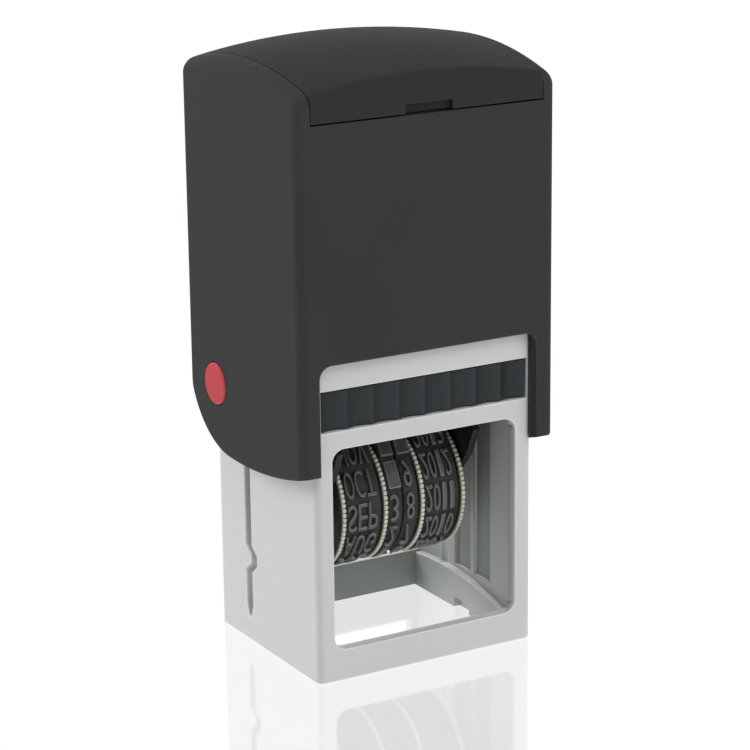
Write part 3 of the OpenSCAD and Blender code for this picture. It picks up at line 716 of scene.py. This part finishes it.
band = {
    "thickness": 0.9, "noseHalf": 3.0, "noseRadius": 1.4, "steps": 180,
    # the shade width and the tint share after it set the painted shadow along the band's edges
    "edge": 0.16, "bevel": 0.3, "shade": 0.6, "rimShadowTint": 0.8,
    "relief": 0.6, "sunk": 0.12, "height": 4.15, "cut": 0.5,
    "cell": 0.88, "letter": 0.82, "single": 0.72, "block": 0.9, "blockEdge": 0.06,
    "extrude": 0.1, "soften": 0.026, "thin": 0.034, "curve": 3, "weld": 1e-5,
    "top": 0.99, "shoulder": 0.8, "sideTint": 0.3,  # where a character's marks start, and its sides' mark
}
glyphWidths = {"1": 0.55, "J": 0.85, "L": 0.85, "M": 1.1, "N": 1.02}
bands = {
    # words in order from the nose, down the front and up the back; a dash is a blank block
    "month": {"shift": -0.1, "lean": -0.4, "words": [
        " ", "DEC", "NOV", "OCT", "SEP", "AUG", "JUL", "JUN", "MAY", "APR", "MAR", "FEB", "JAN", " "]},
    "day_tens": {"shift": -0.55, "lean": -0.35, "words": list("-1--3210-3210-")},
    "day_units": {"shift": -0.45, "lean": -0.35, "words": list("-0-9876543210-")},
    "year": {"shift": -0.95, "lean": -0.45, "words": [str(y) for y in range(2015, 2003, -1)] + [" ", "2016"]},
}


class Loop:
    # the closed path of a band's outer face, measured from the top of the nose towards the front
    def __init__(self, low, high):
        self.wheelRadius = (high.y - low.y) / 2
        self.wheelZ = low.z + self.wheelRadius
        self.r = band["noseRadius"]
        self.cornerY, self.cornerZ = band["noseHalf"] - self.r, high.z - self.r
        rise = self.cornerZ - self.wheelZ
        reach = math.hypot(self.cornerY, rise)
        lean = math.acos((self.wheelRadius - self.r) / reach)
        self.tilt = math.atan2(rise, self.cornerY) - lean  # angle of the straight run's normal
        self.flat = self.cornerY
        self.bend = self.r * (math.pi / 2 - self.tilt)
        self.run = math.sqrt(reach ** 2 - (self.wheelRadius - self.r) ** 2)
        self.half = self.flat + self.bend + self.run + self.wheelRadius * (math.pi / 2 + self.tilt)

    def at(self, s):
        # y, z and the outward normal at length s
        s %= 2 * self.half
        flip = 1
        if s > self.half:
            s, flip = 2 * self.half - s, -1
        if s <= self.flat:
            y, z, a = s, self.cornerZ + self.r, math.pi / 2
        elif s <= self.flat + self.bend:
            a = math.pi / 2 - (s - self.flat) / self.r
            y, z = self.cornerY + self.r * math.cos(a), self.cornerZ + self.r * math.sin(a)
        elif s <= self.flat + self.bend + self.run:
            a, t = self.tilt, s - self.flat - self.bend
            y = self.cornerY + self.r * math.cos(a) + t * math.sin(a)
            z = self.cornerZ + self.r * math.sin(a) - t * math.cos(a)
        else:
            a = self.tilt - (s - self.flat - self.bend - self.run) / self.wheelRadius
            y, z = self.wheelRadius * math.cos(a), self.wheelZ + self.wheelRadius * math.sin(a)
        return -flip * y, z, -flip * math.cos(a), math.sin(a)  # the front is at -y

    def point(self, x, s, lift):
        y, z, ny, nz = self.at(s)
        return Vector((x, y + ny * lift, z + nz * lift))


def blockGlyph():
    # a plain block for the places that carry no character
    bm = bmesh.new()
    bmesh.ops.create_cube(bm, size=1, matrix=Matrix.Translation((0.5, 0.5, 0.5)))
    upper = [e for e in bm.edges if min(v.co.z for v in e.verts) > 0.5]
    bmesh.ops.bevel(bm, geom=upper, offset=band["blockEdge"], segments=2, profile=0.5, affect="EDGES")
    data = bpy.data.meshes.new("block")
    bm.to_mesh(data)
    bm.free()
    return data


glyphs = {"block": blockGlyph()}


def glyph(letter):
    # the letter as faces from 0 to 1 in width, height and relief
    if letter not in glyphs:
        text = bpy.data.curves.new("character", "FONT")
        text.body, text.extrude, text.resolution_u = letter, band["extrude"], band["curve"]
        text.bevel_depth, text.bevel_resolution, text.offset = band["soften"], 1, -band["thin"]
        holder = bpy.data.objects.new("character", text)
        scene.collection.objects.link(holder)
        bpy.context.view_layer.update()
        data = bpy.data.meshes.new_from_object(holder.evaluated_get(bpy.context.evaluated_depsgraph_get()))
        corners = [v.co.copy() for v in data.vertices]
        low = Vector([min(c[k] for c in corners) for k in range(3)])
        high = Vector([max(c[k] for c in corners) for k in range(3)])
        for v in data.vertices:
            v.co = Vector([(v.co[k] - low[k]) / (high[k] - low[k]) for k in range(3)])
        glyphs[letter] = data
        bpy.data.objects.remove(holder)
        bpy.data.curves.remove(text)
    return glyphs[letter]


def raisedCharacter(bm, loop, letter, x, s, width, marks):
    # sets one character on the loop; it stands upside down on the front, as a stamp's do
    made = bmesh.new()
    made.from_mesh(glyph(letter))
    bmesh.ops.remove_doubles(made, verts=made.verts, dist=band["weld"])
    cuts = int(band["height"] / band["cut"])
    for i in range(1, cuts):
        everything = made.verts[:] + made.edges[:] + made.faces[:]
        bmesh.ops.bisect_plane(made, geom=everything, plane_co=(0, i / cuts, 0), plane_no=(0, 1, 0),
                               dist=band["weld"])
    made.verts.index_update()
    spots = []
    for v in made.verts:
        lift = -band["sunk"] + v.co.z * (band["relief"] + band["sunk"])
        along = s + (v.co.y - 0.5) * band["height"]
        spot = bm.verts.new(loop.point(x + (v.co.x - 0.5) * width, along, lift))
        spot[marks["relief"]] = 1 if v.co.z > band["top"] else band["sideTint"]
        spot[marks["rim"]] = 1 if band["shoulder"] < v.co.z < band["top"] else 0
        spots.append(spot)
    for face in made.faces:
        bm.faces.new([spots[v.index] for v in reversed(face.verts)])
    made.free()


def bandSection(low, high):
    # x, lift and share of the painted shadow along the band's edges by the rims, round the band's section
    edge, bevel = band["edge"], band["edge"] * band["bevel"]
    section = []
    for x, turn in ((high.x, 1), (low.x, -1)):
        part = [(x - turn * band["shade"], 0, 0), (x - turn * edge, 0, band["rimShadowTint"]),
                (x - turn * bevel, -bevel, 1), (x, -edge, 1), (x, -band["thickness"], 1)]
        section += part if turn > 0 else part[::-1]
    return section


def dateBand(name, node, words, shift, lean):
    low, high = (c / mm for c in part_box(node))
    loop, section = Loop(low, high), bandSection(low, high)
    bm = bmesh.new()
    marks = {key: bm.verts.layers.float.new(key) for key in ("relief", "rim", "edge")}
    rows = []
    for i in range(band["steps"]):
        row = []
        for x, lift, rimShadow in section:
            v = bm.verts.new(loop.point(x, 2 * loop.half * i / band["steps"], lift))
            # painted shadow along the band's edges, by the rims
            v[marks["edge"]] = rimShadow
            row.append(v)
        rows.append(row)
    grid(bm, rows)
    bmesh.ops.recalc_face_normals(bm, faces=bm.faces)
    pitch = 2 * loop.half / len(words)
    width = (high.x - low.x) * band["cell"]
    middle = (low.x + high.x) / 2
    for place, word in enumerate(words):
        s = place * pitch + shift
        if word == "-":
            raisedCharacter(bm, loop, "block", middle, s, width * band["block"], marks)
        elif word.strip():
            cell = width / len(word)
            for k, letter in enumerate(word):
                x = middle + lean + (k + 0.5 - len(word) / 2) * cell
                share = band["letter"] * glyphWidths.get(letter, 1)
                share *= band["single"] if len(word) == 1 else 1
                raisedCharacter(bm, loop, letter, x, s, cell * share, marks)
    newPiece(name, bm, bodyOf(node), "band_rubber", node, smooth=40)


for name, date in dates:
    dateBand(name + "Band", date + "_band", **bands[date])
for data in glyphs.values():
    bpy.data.meshes.remove(data)
print("four date bands set")


# floor, camera and light

floorSheet = {
    "half": 4000, "cells": 8, "drop": 0.02, "cloud": 180, "base": ("#2e2e2e", "#2a2a2a"), "rough": 0.8,
    "light": ("#ffffff", "#fcfcfc"), "glow": 1.02, "gloss": 0.3, "glossTint": "#ffffff", "blur": 0.07,
}


def paleFloor():
    bm = bmesh.new()
    cells = floorSheet["cells"]
    bmesh.ops.create_grid(bm, x_segments=cells, y_segments=cells, size=floorSheet["half"] * mm)
    data = bpy.data.meshes.new("floor")
    bm.to_mesh(data)
    bm.free()
    floor = bpy.data.objects.new("floor", data)
    floor.location.z = -floorSheet["drop"] * mm
    scene.collection.objects.link(floor)
    # a white sheet lit from below under a thin gloss, which keeps a faint mirror picture
    f = finish("floorPale")
    cloud = f.noise(floorSheet["cloud"], 2)
    sheet = f.node("ShaderNodeBsdfPrincipled", None, {
        "Base Color": f.mix(cloud, *map(paint, floorSheet["base"])), "Roughness": floorSheet["rough"],
        "Specular IOR Level": 0, "Emission Color": f.mix(cloud, *map(paint, floorSheet["light"])),
        "Emission Strength": floorSheet["glow"]})
    gloss = f.node("ShaderNodeBsdfAnisotropic", None, {
        "Color": paint(floorSheet["glossTint"]), "Roughness": floorSheet["blur"]})
    blend = f.node("ShaderNodeMixShader", None, {0: floorSheet["gloss"], 1: sheet, 2: gloss})
    f.node("ShaderNodeOutputMaterial", None, {"Surface": blend})
    data.materials.append(f.owner)


camera = {
    "focalPixels": 2707.6, "imagePixels": 750, "sensor": 36, "clip": (0.01, 20),
    "azimuth": -29.97, "elevation": 15.91, "roll": -0.68,
    "distance": 419.95, "target": (0.97, 0, 41.59),
}


def facing(azimuth, elevation):
    az, el = math.radians(azimuth), math.radians(elevation)
    return Vector((math.sin(az) * math.cos(el), -math.cos(az) * math.cos(el), math.sin(el)))


def placeCamera():
    back, roll = facing(camera["azimuth"], camera["elevation"]), math.radians(camera["roll"])
    right = Vector((0, 0, 1)).cross(back).normalized()
    up = back.cross(right)
    sideways = right * math.cos(roll) + up * math.sin(roll)
    upward = up * math.cos(roll) - right * math.sin(roll)
    data = bpy.data.cameras.new("stampCamera")
    data.sensor_width = camera["sensor"]
    data.lens = camera["focalPixels"] * camera["sensor"] / camera["imagePixels"]
    data.clip_start, data.clip_end = camera["clip"]
    eye = (Vector(camera["target"]) + back * camera["distance"]) * mm
    lens = bpy.data.objects.new("stampCamera", data)
    lens.matrix_world = Matrix.Translation(eye) @ Matrix((sideways, upward, back)).transposed().to_4x4()
    scene.collection.objects.link(lens)
    scene.camera = lens


lamps = {
    "left": {"at": (-520, 360, 420), "aim": (0, 0, 45), "size": 420, "watts": 2.35},
    "right": {"at": (480, -560, 400), "aim": (0, 0, 45), "size": 420, "watts": 1.4},
    "front": {"at": (-120, -480, 660), "aim": (0, 0, 40), "size": 320, "watts": 1.5},
}
tent = {"strength": 1.0, "dim": "#8c8c8c", "white": "#ffffff", "back": (150, 12), "from": 0.2, "to": 0.75}


def placeLamps():
    for name, lamp in lamps.items():
        data = bpy.data.lights.new(name + "Lamp", "AREA")
        data.size = lamp["size"] * mm
        data.energy = lamp["watts"]
        at, aim = Vector(lamp["at"]) * mm, Vector(lamp["aim"]) * mm
        light = bpy.data.objects.new(name + "Lamp", data)
        light.location = at
        light.rotation_euler = (aim - at).to_track_quat("-Z", "Y").to_euler()
        scene.collection.objects.link(light)


def raiseTent():
    # white all round the stamp, dimmer in front
    f = Finish(bpy.data.worlds.new("tent"), "Generated")
    toward = f.node("ShaderNodeVectorMath", {"operation": "DOT_PRODUCT"},
                    {0: f.place, 1: facing(*tent["back"])}, "Value")
    bright = f.span(toward, tent["from"], tent["to"], "SMOOTHSTEP")
    colour = f.mix(bright, paint(tent["dim"]), paint(tent["white"]))
    light = f.node("ShaderNodeBackground", None, {"Color": colour, "Strength": tent["strength"]})
    f.node("ShaderNodeOutputWorld", None, {"Surface": light})
    scene.world = f.owner


paleFloor()
placeCamera()
placeLamps()
raiseTent()
scene.view_settings.view_transform = "Standard"
print("floor, camera and light set")
